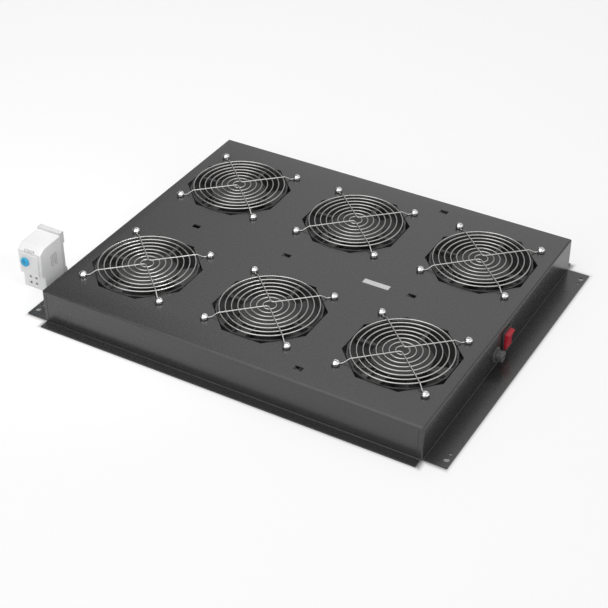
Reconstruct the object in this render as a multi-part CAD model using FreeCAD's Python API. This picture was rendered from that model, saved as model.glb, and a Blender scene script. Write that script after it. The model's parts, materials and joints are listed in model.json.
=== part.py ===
import FreeCAD, Part
import math
import os

# Rack fan tray: a folded steel tray that carries six 120 mm mains fans with wire
# finger guards, a lit rocker switch, a fuse holder and a small rail thermostat.
# Millimetres. The origin is the middle of the tray, level with the underside of
# its flanges. X runs along the long side, Y to the back and Z up.

# Folded tray
tray_length = 480.0
tray_width = 395.0
tray_height = 44.0
sheet = 1.5
bend_inside = 0.6
side_flange_reach = 27.0
end_flange_reach = 11.5
seam_inset = 5.5
seam_gap = 0.4
seam_top_margin = 5.0

# Fixing holes in the side flanges
flange_hole_edge = 6.0
flange_hole_radius = 3.3
flange_hole_spacing_y = 368.0
pilot_hole_radius = 2.0
pilot_hole_spacing_y = 348.0

# Fan layout and cut-outs in the top panel
fan_columns = 3
fan_rows = 2
fan_end_margin = 15.25
fan_row_margin = 37.75
fan_grid_shift_x = 0.9
fan_grid_shift_y = 1.2
cutout_clearance = 0.55
panel_screw_hole_radius = 2.25

# Lanced slots for cable ties
tie_slot_length = 10.0
tie_slot_width = 6.4
tie_bridge_width = 3.0
tie_bridge_dip = 2.6
tie_bridge_middle_x = -35.5
tie_bridge_end_distance = 113.0
tie_bridge_wall_distance = 21.5
plain_slot_end_distance = 79.0

# Bare label on the top panel
label_length = 33.0
label_width = 8.0
label_thickness = 0.3

# Fan frame, a metal casting
fan_side = 119.5
fan_depth = 38.0
fan_hole_inset = 7.25
fan_hole_radius = 2.2
fan_corner_radius = 6.0
fan_flange_thickness = 4.0
duct_wall = 2.25
bell_mouth_flare = 0.6
bell_mouth_depth = 5.0
collar_gap = 1.5
collar_top_gap = 0.1

# Motor carrier in the fan frame
motor_plate_radius = 33.5
motor_plate_recess = 4.5
motor_plate_thickness = 2.5
motor_plate_lip = 1.2
strut_width = 4.5
strut_recess = 3.0
strut_depth = 5.5
lead_strut_width = 18.0
lead_strut_wall = 1.6
lead_strut_angle = 260.0
strut_step_angle = 90.0
strut_lean = 12.0
bearing_tube_radius = 7.0
bearing_seat_radius = 5.5
bearing_tube_length = 23.0

# Motor and impeller
shaft_radius = 2.5
bearing_running_clearance = 0.03
bearing_seat_clearance = 0.05
bearing_length = 6.0
rotor_can_radius = 31.3
rotor_can_wall = 2.2
rotor_top_gap = 1.5
rotor_bottom_gap = 3.0
stator_radius = 27.0
stator_height = 13.0
stator_seat_clearance = 0.05
stator_slots = 8
stator_slot_radius = 4.2
stator_slot_circle = 19.5
winding_height = 3.0
winding_inset = 6.0
hub_wall = 2.0
hub_fit_clearance = 0.05
hub_lip = 6.0
hub_floor = 1.5
blade_count = 5
blade_tip_clearance = 1.2
blade_top_gap = 1.2
blade_root_chord = 33.0
blade_root_angle = 44.0
blade_middle_chord = 42.0
blade_middle_angle = 33.0
blade_tip_chord = 51.0
blade_tip_angle = 26.5
blade_thickness = 1.7
blade_camber = 3.4
rotor_rest_angle = 23.0

# Wire finger guard
guard_wire = 1.5
guard_ring_count = 8
guard_first_ring = 7.6
guard_ring_pitch = 6.95
guard_ring_height = 4.0
guard_spoke_rise = 1.3
guard_apex_back = 4.0
guard_apex_front = 3.0
guard_apex_bend = 4.0
guard_step_bend = 2.0
guard_step_start = 8.0
guard_step_end = 15.5
guard_eye_radius = 3.2
guard_seat_gap = 0.05

# M4 screws and nuts of the guards
screw_radius = 2.0
screw_head_radius = 4.5
screw_head_height = 3.9
screw_head_rim = 1.9
screw_crown_radius = 1.8
screw_recess_length = 4.8
screw_recess_width = 1.0
screw_recess_depth = 1.9
nut_across_flats = 7.0
nut_height = 3.2
nut_clearance = 0.05
screw_point_past_nut = 1.5

# Rocker switch in the right wall
switch_y = 7.0
switch_z = 23.5
switch_bezel_width = 21.0
switch_bezel_height = 25.0
switch_bezel_thickness = 2.0
switch_bezel_round = 1.2
switch_body_width = 18.8
switch_body_height = 22.2
switch_body_depth = 18.0
switch_cutout_clearance = 0.2
rocker_width = 15.6
rocker_half_height = 9.4
rocker_belly = 0.7
rocker_front = 6.8
rocker_dish = 1.4
rocker_skirt = 3.0
rocker_clearance = 0.3
rocker_pocket_extra = 2.2
rocker_pivot_inset = 0.7
rocker_throw_angle = 16.0
rocker_pin_radius = 1.2
rocker_pin_length = 1.2
rocker_pin_clearance = 0.05
switch_blade_width = 4.8
switch_blade_thickness = 0.8
switch_blade_length = 8.0
switch_blade_spacing_y = 9.0
switch_blade_spacing_z = 11.0

# Fuse holder in the right wall
fuse_y = -19.0
fuse_z = 17.5
fuse_flange_radius = 9.0
fuse_flange_thickness = 2.0
fuse_body_radius = 6.2
fuse_body_length = 28.0
fuse_body_floor = 3.0
fuse_hole_clearance = 0.2
fuse_bore_radius = 4.0
fuse_nut_across_flats = 17.0
fuse_nut_thickness = 3.0
fuse_nut_clearance = 0.05
fuse_cap_radius = 6.5
fuse_cap_length = 7.4
fuse_cap_gap = 0.3
fuse_cap_flutes = 12
fuse_cap_flute_radius = 0.7
fuse_cap_slot_width = 1.4
fuse_cap_slot_depth = 1.2
fuse_pin_radius = 1.2
fuse_pin_length = 3.2
fuse_pin_clearance = 0.05
fuse_carrier_clearance = 0.3
fuse_carrier_front = 3.3
fuse_carrier_length = 17.0
fuse_length = 20.0
fuse_end_radius = 2.6
fuse_glass_radius = 2.35
fuse_end_length = 5.5
fuse_side_play = 0.15
fuse_seat_gap = 0.2
fuse_lug_width = 4.0
fuse_lug_thickness = 0.8
fuse_lug_length = 8.0

# Cable grommet in the back wall
grommet_end_distance = 40.0
grommet_z = 21.0
grommet_hole_radius = 8.0
grommet_rim_radius = 11.0
grommet_bore_radius = 5.0
grommet_side = 2.6
grommet_fit_clearance = 0.1

# Earth stud on the inside of the right wall
earth_y = -34.0
earth_z = 30.0
earth_stud_radius = 2.0
earth_stud_length = 10.0
earth_washer_radius = 4.6
earth_washer_thickness = 1.0

# Rail thermostat
thermostat_gap = 7.5
thermostat_y = -155.4
thermostat_width = 33.0
thermostat_height = 60.0
thermostat_depth = 38.5
thermostat_wall = 1.8
thermostat_brow_rise = 6.5
thermostat_brow_depth = 9.0
thermostat_step_height = 22.0
thermostat_step_depth = 5.0
thermostat_edge_round = 1.8
vent_count = 6
vent_pitch = 2.6
vent_width = 1.1
vent_height = 4.0
cover_side_inset = 3.4
cover_top_inset = 7.0
cover_bottom_inset = 1.5
cover_thickness = 1.0
cover_seat_gap = 0.05
back_plate_depth = 7.0
back_plate_rise = 3.0
rail_height = 35.0
rail_lip_gap = 1.1
rail_hook_depth = 1.2
rail_hook_reach = 2.0
dial_x = -5.5
dial_z = 39.5
dial_radius = 5.6
dial_height = 2.2
dial_gap = 0.3
dial_round = 0.6
dial_slot_width = 1.2
dial_slot_depth = 0.9
spindle_radius = 1.6
spindle_clearance = 0.05
spindle_length = 12.0
terminal_spacing = 8.2
terminal_x = -1.5
terminal_screw_z = 15.0
terminal_entry_z = 6.8
terminal_hole_radius = 1.9
terminal_block_depth = 11.0
terminal_block_width = 22.0
terminal_block_height = 18.0
terminal_clamp_side = 5.2
terminal_clamp_clearance = 0.2
terminal_screw_radius = 1.7
terminal_screw_length = 6.0
switch_case_width = 20.0
switch_case_depth = 11.0
switch_case_height = 12.0
bimetal_thickness = 0.8
bimetal_width = 6.0
bimetal_length = 20.0

# Sizes that follow from the ones above
bend_outside = bend_inside + sheet
fold_height = sheet + bend_inside
panel_underside = tray_height - sheet
wall_face = tray_length / 2
inner_wall_face = wall_face - sheet
hub_radius = rotor_can_radius + hub_fit_clearance + hub_wall
fan_pitch_x = (tray_length - fan_side - 2 * fan_end_margin) / (fan_columns - 1)
fan_pitch_y = (tray_width - fan_side - 2 * fan_row_margin) / (fan_rows - 1)
fan_hole_pitch = fan_side - 2 * fan_hole_inset
cutout_across_flats = fan_side + 2 * cutout_clearance
column_gap_x = fan_pitch_x / 2
tie_bridge_row = tray_width / 2 - tie_bridge_wall_distance
tie_bridge_places = (
    (tie_bridge_middle_x, 0.0),
    (wall_face - tie_bridge_end_distance, 0.0),
    (column_gap_x, tie_bridge_row),
    (column_gap_x, -tie_bridge_row),
)
plain_slot_places = ((plain_slot_end_distance - wall_face, 0.0),)
duct_radius = fan_side / 2 - duct_wall
bell_mouth_radius = duct_radius + bell_mouth_flare
collar_rise = sheet - collar_top_gap
collar_across_flats = cutout_across_flats - 2 * collar_gap
grommet_x = wall_face - grommet_end_distance
thermostat_x = -(wall_face + side_flange_reach + thermostat_gap + thermostat_width / 2)
blade_tip_radius = duct_radius - blade_tip_clearance
motor_plate_underside = motor_plate_recess + motor_plate_thickness
rotor_top = motor_plate_underside + rotor_top_gap
rotor_bottom = fan_depth - rotor_bottom_gap
spoke_height = guard_ring_height + guard_spoke_rise
eye_height = guard_wire / 2 + guard_seat_gap
screw_seat = guard_wire + 2 * guard_seat_gap


def vector(x, y, z):
    return FreeCAD.Vector(x, y, z)


def block(x0, x1, y0, y1, z0, z1):
    return Part.makeBox(x1 - x0, y1 - y0, z1 - z0, vector(x0, y0, z0))


def disc_x(radius, x0, x1, y, z):
    return Part.makeCylinder(radius, x1 - x0, vector(x0, y, z), vector(1, 0, 0))


def disc_y(radius, y0, y1, x, z):
    return Part.makeCylinder(radius, y1 - y0, vector(x, y0, z), vector(0, 1, 0))


def disc_z(radius, z0, z1, x=0.0, y=0.0):
    return Part.makeCylinder(radius, z1 - z0, vector(x, y, z0), vector(0, 0, 1))


def ring_z(outer, inner, z0, z1):
    return disc_z(outer, z0, z1).cut(disc_z(inner, z0, z1))


def ring_x(outer, inner, x0, x1, y, z):
    return disc_x(outer, x0, x1, y, z).cut(disc_x(inner, x0, x1, y, z))


def moved(shape, x, y, z):
    copy = shape.copy()
    copy.translate(vector(x, y, z))
    return copy


def turned(shape, degrees, axis=(0, 0, 1), centre=(0, 0, 0)):
    copy = shape.copy()
    copy.rotate(vector(*centre), vector(*axis), degrees)
    return copy


def joined(shapes):
    return shapes[0].multiFuse(shapes[1:]).removeSplitter()


def prism(corners, direction):
    """A straight solid from a closed outline, pushed along a direction."""
    outline = Part.makePolygon(corners + [corners[0]])
    return Part.Face(outline).extrude(direction)


def regular_prism(sides, across_flats, z0, z1):
    reach = across_flats / 2 / math.cos(math.pi / sides)
    corners = []
    for index in range(sides):
        angle = 2 * math.pi * (index + 0.5) / sides
        corners.append(vector(reach * math.cos(angle), reach * math.sin(angle), z0))
    return prism(corners, vector(0, 0, z1 - z0))


def rounded_box(x0, x1, y0, y1, z0, z1, radius, pick):
    """A box with one radius on the edges that the pick function accepts."""
    solid = block(x0, x1, y0, y1, z0, z1)
    edges = [edge for edge in solid.Edges if pick(edge)]
    return solid.makeFillet(radius, edges)


def along(edge, axis):
    direction = edge.tangentAt(edge.FirstParameter)
    return abs(abs(getattr(direction, axis)) - 1) < 1e-6


def fan_places():
    places = []
    for row in range(fan_rows):
        for column in range(fan_columns):
            x = (column - (fan_columns - 1) / 2) * fan_pitch_x + fan_grid_shift_x
            y = (row - (fan_rows - 1) / 2) * fan_pitch_y + fan_grid_shift_y
            places.append((x, y))
    return places


def screw_corners():
    half = fan_hole_pitch / 2
    return [(-half, -half), (half, -half), (half, half), (-half, half)]


def folded_strip(wall, reach, length):
    """The bottom fold of a wall that faces +X: a bend outwards and a flat flange."""
    centre_x = wall + bend_inside
    centre_z = fold_height
    outer = bend_inside + sheet
    diagonal = math.sqrt(0.5)
    start = vector(wall - sheet, -length / 2, centre_z)
    outer_end = vector(centre_x, -length / 2, 0)
    tip_low = vector(wall + reach, -length / 2, 0)
    tip_high = vector(wall + reach, -length / 2, sheet)
    inner_start = vector(centre_x, -length / 2, sheet)
    inner_end = vector(wall, -length / 2, centre_z)
    outer_middle = vector(centre_x - outer * diagonal, -length / 2, centre_z - outer * diagonal)
    inner_middle = vector(
        centre_x - bend_inside * diagonal, -length / 2, centre_z - bend_inside * diagonal)
    edges = [
        Part.Arc(start, outer_middle, outer_end).toShape(),
        Part.makeLine(outer_end, tip_low),
        Part.makeLine(tip_low, tip_high),
        Part.makeLine(tip_high, inner_start),
        Part.Arc(inner_start, inner_middle, inner_end).toShape(),
        Part.makeLine(inner_end, start),
    ]
    return Part.Face(Part.Wire(edges)).extrude(vector(0, length, 0))


def tie_bridge(x, y):
    """The strip that stays in a tie slot, pressed down below the panel."""
    half = tie_slot_length / 2 + seam_gap
    side = y - tie_bridge_width / 2
    lower = [vector(x - half, side, panel_underside),
             vector(x, side, panel_underside - tie_bridge_dip),
             vector(x + half, side, panel_underside)]
    upper = [vector(x + half, side, tray_height),
             vector(x, side, tray_height - tie_bridge_dip),
             vector(x - half, side, tray_height)]
    edges = [
        Part.Arc(*lower).toShape(),
        Part.makeLine(lower[2], upper[0]),
        Part.Arc(*upper).toShape(),
        Part.makeLine(upper[2], lower[0]),
    ]
    return Part.Face(Part.Wire(edges)).extrude(vector(0, tie_bridge_width, 0))


def tray():
    """One sheet: top panel, four walls and the flanges turned out at the bottom."""
    half_x = tray_length / 2
    half_y = tray_width / 2

    def outside_bend(edge):
        middle_z = edge.CenterOfMass.z
        return middle_z > fold_height + seam_gap

    shell = rounded_box(
        -half_x, half_x, -half_y, half_y, fold_height, tray_height, bend_outside, outside_bend)
    hollow = rounded_box(
        -half_x + sheet, half_x - sheet, -half_y + sheet, half_y - sheet,
        fold_height - sheet, panel_underside, bend_inside,
        lambda edge: edge.CenterOfMass.z > fold_height - sheet / 2)
    shell = shell.cut(hollow)

    side_length = tray_width - 2 * bend_outside
    end_length = tray_length - 2 * bend_outside
    side_strip = folded_strip(half_x, side_flange_reach, side_length)
    end_strip = folded_strip(half_y, end_flange_reach, end_length)
    strips = [
        side_strip,
        turned(side_strip, 180),
        turned(end_strip, 90),
        turned(end_strip, 270),
    ]
    body = shell.multiFuse(strips)

    cuts = []
    cutout = regular_prism(8, cutout_across_flats, panel_underside - sheet, tray_height + sheet)
    for fan_x, fan_y in fan_places():
        cuts.append(moved(cutout, fan_x, fan_y, 0))
        for dx, dy in screw_corners():
            cuts.append(disc_z(panel_screw_hole_radius, panel_underside - sheet,
                               tray_height + sheet, fan_x + dx, fan_y + dy))
    hole_x = half_x + side_flange_reach - flange_hole_edge
    for side in (-1, 1):
        for end in (-1, 1):
            cuts.append(disc_z(flange_hole_radius, -sheet, 2 * sheet,
                               side * hole_x, end * flange_hole_spacing_y / 2))
            cuts.append(disc_z(pilot_hole_radius, -sheet, 2 * sheet,
                               side * hole_x, end * pilot_hole_spacing_y / 2))
    for slot_x, slot_y in tie_bridge_places + plain_slot_places:
        cuts.append(block(slot_x - tie_slot_length / 2, slot_x + tie_slot_length / 2,
                          slot_y - tie_slot_width / 2, slot_y + tie_slot_width / 2,
                          panel_underside - sheet, tray_height + sheet))
    for side in (-1, 1):
        for end in (-1, 1):
            seam_x = side * (half_x - seam_inset)
            seam_y = end * (half_y - sheet / 2)
            cuts.append(block(seam_x - seam_gap / 2, seam_x + seam_gap / 2,
                              seam_y - sheet, seam_y + sheet,
                              fold_height + sheet, tray_height - seam_top_margin))
    cuts.append(block(inner_wall_face - sheet, wall_face + sheet,
                      switch_y - switch_body_width / 2 - switch_cutout_clearance,
                      switch_y + switch_body_width / 2 + switch_cutout_clearance,
                      switch_z - switch_body_height / 2 - switch_cutout_clearance,
                      switch_z + switch_body_height / 2 + switch_cutout_clearance))
    cuts.append(disc_x(fuse_body_radius + fuse_hole_clearance,
                       inner_wall_face - sheet, wall_face + sheet, fuse_y, fuse_z))
    cuts.append(disc_y(grommet_hole_radius, half_y - 2 * sheet, half_y + sheet,
                       grommet_x, grommet_z))
    body = body.cut(Part.makeCompound(cuts))
    bridges = [tie_bridge(bridge_x, bridge_y) for bridge_x, bridge_y in tie_bridge_places]
    return body.multiFuse(bridges).removeSplitter()


def label_plate():
    return block(column_gap_x - label_length / 2, column_gap_x + label_length / 2,
                 -label_width / 2, label_width / 2, tray_height, tray_height + label_thickness)


def fan_strut(angle):
    """A narrow arm from the motor plate to the duct, leaning away from the radius."""
    arm = block(0, duct_radius - motor_plate_radius + 2 * strut_width,
                -strut_width / 2, strut_width / 2,
                -strut_recess - strut_depth, -strut_recess)
    arm = turned(arm, strut_lean)
    return turned(moved(arm, motor_plate_radius - strut_width, 0, 0), angle)


def lead_strut():
    """The wide arm, a trough open upwards that takes the leads to the frame."""
    start = motor_plate_radius - strut_width
    end = duct_radius + lead_strut_wall
    floor = -strut_recess - strut_depth
    arm = block(start, end, -lead_strut_width / 2, lead_strut_width / 2, floor, -strut_recess)
    trough = block(start + 2 * lead_strut_wall, end - 2 * lead_strut_wall,
                   -lead_strut_width / 2 + lead_strut_wall,
                   lead_strut_width / 2 - lead_strut_wall,
                   floor + lead_strut_wall, 0)
    return turned(arm.cut(trough), lead_strut_angle)


def fan_frame():
    """Square frame with a round duct and an octagonal collar that fits the cut-out.

    The ears that meet the panel are at zero, and the frame reaches down from there.
    """
    half = fan_side / 2

    def upright(edge):
        return along(edge, "z")

    top = rounded_box(-half, half, -half, half, -fan_flange_thickness, 0,
                      fan_corner_radius, upright)
    bottom = moved(top, 0, 0, fan_flange_thickness - fan_depth)
    barrel = disc_z(half, -fan_depth, 0)
    collar = regular_prism(8, collar_across_flats, -fan_flange_thickness, collar_rise)
    body = top.multiFuse([bottom, barrel, collar])
    mouth_top = Part.makeCone(duct_radius, bell_mouth_radius, bell_mouth_depth,
                              vector(0, 0, collar_rise - bell_mouth_depth), vector(0, 0, 1))
    mouth_bottom = Part.makeCone(duct_radius, bell_mouth_radius, bell_mouth_depth,
                                 vector(0, 0, bell_mouth_depth - fan_depth), vector(0, 0, -1))
    body = body.cut(disc_z(duct_radius, -fan_depth, collar_rise))
    body = body.cut(mouth_top).cut(mouth_bottom)

    plate_top = -motor_plate_recess
    plate_low = -motor_plate_underside
    carrier = disc_z(motor_plate_radius, plate_low, plate_top)
    rim = ring_z(motor_plate_radius, motor_plate_radius - motor_plate_lip,
                 plate_top, plate_top + motor_plate_lip)
    arms = [lead_strut()]
    for step in range(1, 4):
        arms.append(fan_strut(lead_strut_angle + step * strut_step_angle))
    reach = disc_z(duct_radius + (half - duct_radius) / 2, -fan_depth, 0)
    arms = [arm.common(reach) for arm in arms]
    arms = [arm.cut(disc_z(motor_plate_radius - motor_plate_lip, plate_top, 0)) for arm in arms]
    tube = ring_z(bearing_tube_radius, bearing_seat_radius,
                  plate_low - bearing_tube_length, plate_low)
    body = body.multiFuse([carrier, rim, tube] + arms)
    holes = [disc_z(fan_hole_radius, -fan_depth, 0, x, y) for x, y in screw_corners()]
    return body.cut(Part.makeCompound(holes)).removeSplitter()


def bearings():
    """The two sintered sleeves at the ends of one bearing tube."""
    low = -motor_plate_underside - bearing_tube_length
    outer = bearing_seat_radius - bearing_seat_clearance
    inner = shaft_radius + bearing_running_clearance
    first = ring_z(outer, inner, low, low + bearing_length)
    top = -motor_plate_underside - bearing_seat_clearance
    second = ring_z(outer, inner, top - bearing_length, top)
    return [first, second]


def stator():
    """Slotted iron core with a winding on each face, pressed on the bearing tube."""
    bore = bearing_tube_radius + stator_seat_clearance
    middle = -(rotor_top + rotor_bottom - rotor_can_wall) / 2
    low = middle - stator_height / 2
    high = middle + stator_height / 2
    core = ring_z(stator_radius, bore, low, high)
    slots = []
    for index in range(stator_slots):
        angle = 2 * math.pi * index / stator_slots
        x = stator_slot_circle * math.cos(angle)
        y = stator_slot_circle * math.sin(angle)
        slots.append(disc_z(stator_slot_radius, low, high, x, y))
    core = core.cut(Part.makeCompound(slots))
    winding_outer = stator_radius - winding_inset
    winding_inner = bore + winding_inset / 2
    upper = ring_z(winding_outer, winding_inner, high, high + winding_height)
    lower = ring_z(winding_outer, winding_inner, low - winding_height, low)
    return Part.makeCompound([core, upper, lower])


def rotor_can():
    """Steel cup that turns around the stator, with the shaft pressed in its floor."""
    floor = -rotor_bottom
    cup = disc_z(rotor_can_radius, floor, -rotor_top)
    hollow = disc_z(rotor_can_radius - rotor_can_wall, floor + rotor_can_wall, -rotor_top)
    shaft = disc_z(shaft_radius, floor, -motor_plate_underside - bearing_length / 4)
    edges = [edge for edge in cup.Edges if edge.CenterOfMass.z < floor + 1e-6]
    cup = cup.makeFillet(rotor_can_wall / 2, edges)
    return cup.cut(hollow).fuse(shaft).removeSplitter()


def blade_section(radius, chord, pitch):
    """A thin curved section, square to the radius, pitched against the disc."""
    angle = math.radians(pitch)
    middle_z = -(rotor_top + rotor_bottom) / 2

    def place(along_chord, across):
        y = along_chord * math.cos(angle) - across * math.sin(angle)
        z = along_chord * math.sin(angle) + across * math.cos(angle)
        return vector(radius, y, middle_z + z)

    half = chord / 2
    edge = blade_thickness / 4
    upper = Part.Arc(place(-half, edge), place(0, blade_camber + blade_thickness / 2),
                     place(half, edge)).toShape()
    lower = Part.Arc(place(half, -edge), place(0, blade_camber - blade_thickness / 2),
                     place(-half, -edge)).toShape()
    front = Part.makeLine(place(half, edge), place(half, -edge))
    back = Part.makeLine(place(-half, -edge), place(-half, edge))
    return Part.Wire([upper, front, lower, back])


def impeller():
    """Moulded hub on the rotor can with wide pitched blades."""
    top = -rotor_top
    bottom = -rotor_bottom - hub_floor
    seat = rotor_can_radius + hub_fit_clearance
    hub = ring_z(hub_radius, seat, bottom, top)
    lip = ring_z(hub_radius, hub_radius - hub_lip, bottom, -rotor_bottom)
    root = seat - hub_wall
    middle = (hub_radius + duct_radius) / 2
    sections = [
        blade_section(root, blade_root_chord, blade_root_angle),
        blade_section(middle, blade_middle_chord, blade_middle_angle),
        blade_section(duct_radius, blade_tip_chord, blade_tip_angle),
    ]
    blade = Part.makeLoft(sections, True, False)
    sweep = ring_z(blade_tip_radius, seat + hub_wall / 2,
                   -rotor_bottom, -rotor_top - blade_top_gap)
    blade = blade.common(sweep)
    blades = [turned(blade, 360.0 * index / blade_count) for index in range(blade_count)]
    return joined([hub, lip] + blades)


def rounded_path(points, radii):
    """Straight runs joined by tangent arcs, one radius for each inner point."""
    edges = []
    start = points[0]
    for index in range(1, len(points) - 1):
        corner = points[index]
        into = (corner - points[index - 1]).normalize()
        away = (points[index + 1] - corner).normalize()
        turn = into.getAngle(away)
        setback = radii[index - 1] * math.tan(turn / 2)
        first = corner - into * setback
        last = corner + away * setback
        inward = (away - into).normalize()
        middle = corner + inward * (radii[index - 1] / math.cos(turn / 2) - radii[index - 1])
        edges.append(Part.makeLine(start, first))
        edges.append(Part.Arc(first, middle, last).toShape())
        start = last
    edges.append(Part.makeLine(start, points[-1]))
    return Part.Wire(edges)


def guard_spoke(side, apex):
    """One wire from eye to eye, bent at its middle and stepped down at each end."""
    half = fan_hole_pitch / 2
    left = vector(-half, side * half, 0)
    right = vector(half, side * half, 0)
    middle = vector(0, side * apex, spoke_height)

    def on_leg(screw, distance, height):
        flat = vector(-screw.x, side * apex - screw.y, 0).normalize()
        return vector(screw.x, screw.y, height) + flat * distance

    points = [
        on_leg(left, guard_eye_radius, eye_height),
        on_leg(left, guard_step_start, eye_height),
        on_leg(left, guard_step_end, spoke_height),
        middle,
        on_leg(right, guard_step_end, spoke_height),
        on_leg(right, guard_step_start, eye_height),
        on_leg(right, guard_eye_radius, eye_height),
    ]
    path = rounded_path(points, [guard_step_bend, guard_step_bend, guard_apex_bend,
                                 guard_step_bend, guard_step_bend])
    direction = points[1] - points[0]
    profile = Part.Wire(Part.makeCircle(guard_wire / 2, points[0], direction))
    return path.makePipeShell([profile], True, False)


def finger_guard():
    """Rings with two bent spokes welded on, and an eye round each screw."""
    rings = []
    for index in range(guard_ring_count):
        radius = guard_first_ring + index * guard_ring_pitch
        rings.append(Part.makeTorus(radius, guard_wire / 2, vector(0, 0, guard_ring_height)))
    eyes = []
    for x, y in screw_corners():
        eyes.append(Part.makeTorus(guard_eye_radius, guard_wire / 2, vector(x, y, eye_height)))
    spokes = [guard_spoke(1, guard_apex_back), guard_spoke(-1, guard_apex_front)]
    return spokes[0].multiFuse([spokes[1]] + rings + eyes)


def guard_screw():
    """Domed M4 screw with a cross recess. Zero is the face of the panel."""
    rim_top = screw_seat + screw_head_rim
    crown = screw_seat + screw_head_height
    bottom = -sheet - fan_flange_thickness - nut_height - screw_point_past_nut
    outline = [
        Part.makeLine(vector(0, 0, bottom), vector(screw_radius, 0, bottom)),
        Part.makeLine(vector(screw_radius, 0, bottom), vector(screw_radius, 0, screw_seat)),
        Part.makeLine(vector(screw_radius, 0, screw_seat),
                      vector(screw_head_radius, 0, screw_seat)),
        Part.makeLine(vector(screw_head_radius, 0, screw_seat),
                      vector(screw_head_radius, 0, rim_top)),
        Part.Arc(vector(screw_head_radius, 0, rim_top),
                 vector(screw_head_radius * 0.74, 0, rim_top + (crown - rim_top) * 0.68),
                 vector(screw_crown_radius, 0, crown)).toShape(),
        Part.makeLine(vector(screw_crown_radius, 0, crown), vector(0, 0, crown)),
        Part.makeLine(vector(0, 0, crown), vector(0, 0, bottom)),
    ]
    screw = Part.Face(Part.Wire(outline)).revolve(vector(0, 0, 0), vector(0, 0, 1), 360)
    half_length = screw_recess_length / 2
    half_width = screw_recess_width / 2
    floor = crown - screw_recess_depth
    slot = block(-half_length, half_length, -half_width, half_width,
                 floor, crown + screw_recess_depth)
    return screw.cut(slot.fuse(turned(slot, 90)))


def guard_nut():
    """Hexagon nut under the top flange of the fan frame."""
    top = -sheet - fan_flange_thickness
    nut = regular_prism(6, nut_across_flats, top - nut_height, top)
    return nut.cut(disc_z(screw_radius + nut_clearance, top - nut_height, top))


def switch_housing():
    """Bezel and body of the rocker switch, with a pocket for the rocker."""
    bezel = rounded_box(
        wall_face, wall_face + switch_bezel_thickness,
        switch_y - switch_bezel_width / 2, switch_y + switch_bezel_width / 2,
        switch_z - switch_bezel_height / 2, switch_z + switch_bezel_height / 2,
        switch_bezel_round,
        lambda edge: edge.CenterOfMass.x > wall_face + switch_bezel_thickness / 4)
    body = block(
        wall_face - switch_body_depth, wall_face,
        switch_y - switch_body_width / 2, switch_y + switch_body_width / 2,
        switch_z - switch_body_height / 2, switch_z + switch_body_height / 2)
    pivot_x = wall_face - rocker_pivot_inset
    pocket_half_y = rocker_width / 2 + rocker_clearance
    pocket_half_z = rocker_half_height + rocker_belly + rocker_clearance
    pocket = block(
        pivot_x - rocker_skirt - rocker_pocket_extra, wall_face + 2 * switch_bezel_thickness,
        switch_y - pocket_half_y, switch_y + pocket_half_y,
        switch_z - pocket_half_z, switch_z + pocket_half_z)
    pin_reach = pocket_half_y + rocker_pin_length
    pin_seat = disc_y(rocker_pin_radius + rocker_pin_clearance,
                      switch_y - pin_reach, switch_y + pin_reach, pivot_x, switch_z)
    return bezel.fuse(body).cut(pocket).cut(pin_seat).removeSplitter()


def switch_rocker():
    """Rocker with a dished face and two pivot pins, at rest with its lower half in."""
    pivot_x = wall_face - rocker_pivot_inset
    side = switch_y - rocker_width / 2
    front = pivot_x + rocker_front
    back = pivot_x - rocker_skirt
    top = switch_z + rocker_half_height
    low = switch_z - rocker_half_height
    belly_top = top + rocker_belly
    belly_low = low - rocker_belly
    edges = [
        Part.Arc(vector(front, side, low), vector(front - rocker_dish, side, switch_z),
                 vector(front, side, top)).toShape(),
        Part.makeLine(vector(front, side, top), vector(pivot_x, side, belly_top)),
        Part.makeLine(vector(pivot_x, side, belly_top), vector(back, side, top)),
        Part.makeLine(vector(back, side, top), vector(back, side, low)),
        Part.makeLine(vector(back, side, low), vector(pivot_x, side, belly_low)),
        Part.makeLine(vector(pivot_x, side, belly_low), vector(front, side, low)),
    ]
    paddle = Part.Face(Part.Wire(edges)).extrude(vector(0, rocker_width, 0))
    pin_reach = rocker_width / 2 + rocker_pin_length
    pin = disc_y(rocker_pin_radius, switch_y - pin_reach, switch_y + pin_reach, pivot_x, switch_z)
    rocker = paddle.fuse(pin).removeSplitter()
    return turned(rocker, rocker_throw_angle / 2, (0, 1, 0), (pivot_x, switch_y, switch_z))


def switch_terminals():
    """Four push-on blades at the back of the switch."""
    blades = []
    back = wall_face - switch_body_depth
    for side in (-1, 1):
        for level in (-1, 1):
            y = switch_y + side * switch_blade_spacing_y / 2
            z = switch_z + level * switch_blade_spacing_z / 2
            blades.append(block(back - switch_blade_length, back,
                                y - switch_blade_thickness / 2, y + switch_blade_thickness / 2,
                                z - switch_blade_width / 2, z + switch_blade_width / 2))
    return Part.makeCompound(blades)


def fuse_holder_body():
    """Flanged tube through the wall, open at the front for the fuse carrier."""
    back = wall_face - fuse_body_length
    flange = disc_x(fuse_flange_radius, wall_face, wall_face + fuse_flange_thickness,
                    fuse_y, fuse_z)
    rim = [edge for edge in flange.Edges
           if edge.CenterOfMass.x > wall_face + fuse_flange_thickness / 2
           and edge.Curve.TypeId == "Part::GeomCircle"]
    flange = flange.makeFillet(fuse_flange_thickness / 3, rim)
    tube = disc_x(fuse_body_radius, back, wall_face, fuse_y, fuse_z)
    bore = disc_x(fuse_bore_radius, back + fuse_body_floor, wall_face + fuse_flange_thickness,
                  fuse_y, fuse_z)
    lug_slot = block(back, back + fuse_body_floor,
                     fuse_y - fuse_lug_width / 2, fuse_y + fuse_lug_width / 2,
                     fuse_z - fuse_lug_thickness / 2, fuse_z + fuse_lug_thickness / 2)
    return flange.fuse(tube).cut(bore).cut(lug_slot).removeSplitter()


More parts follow.
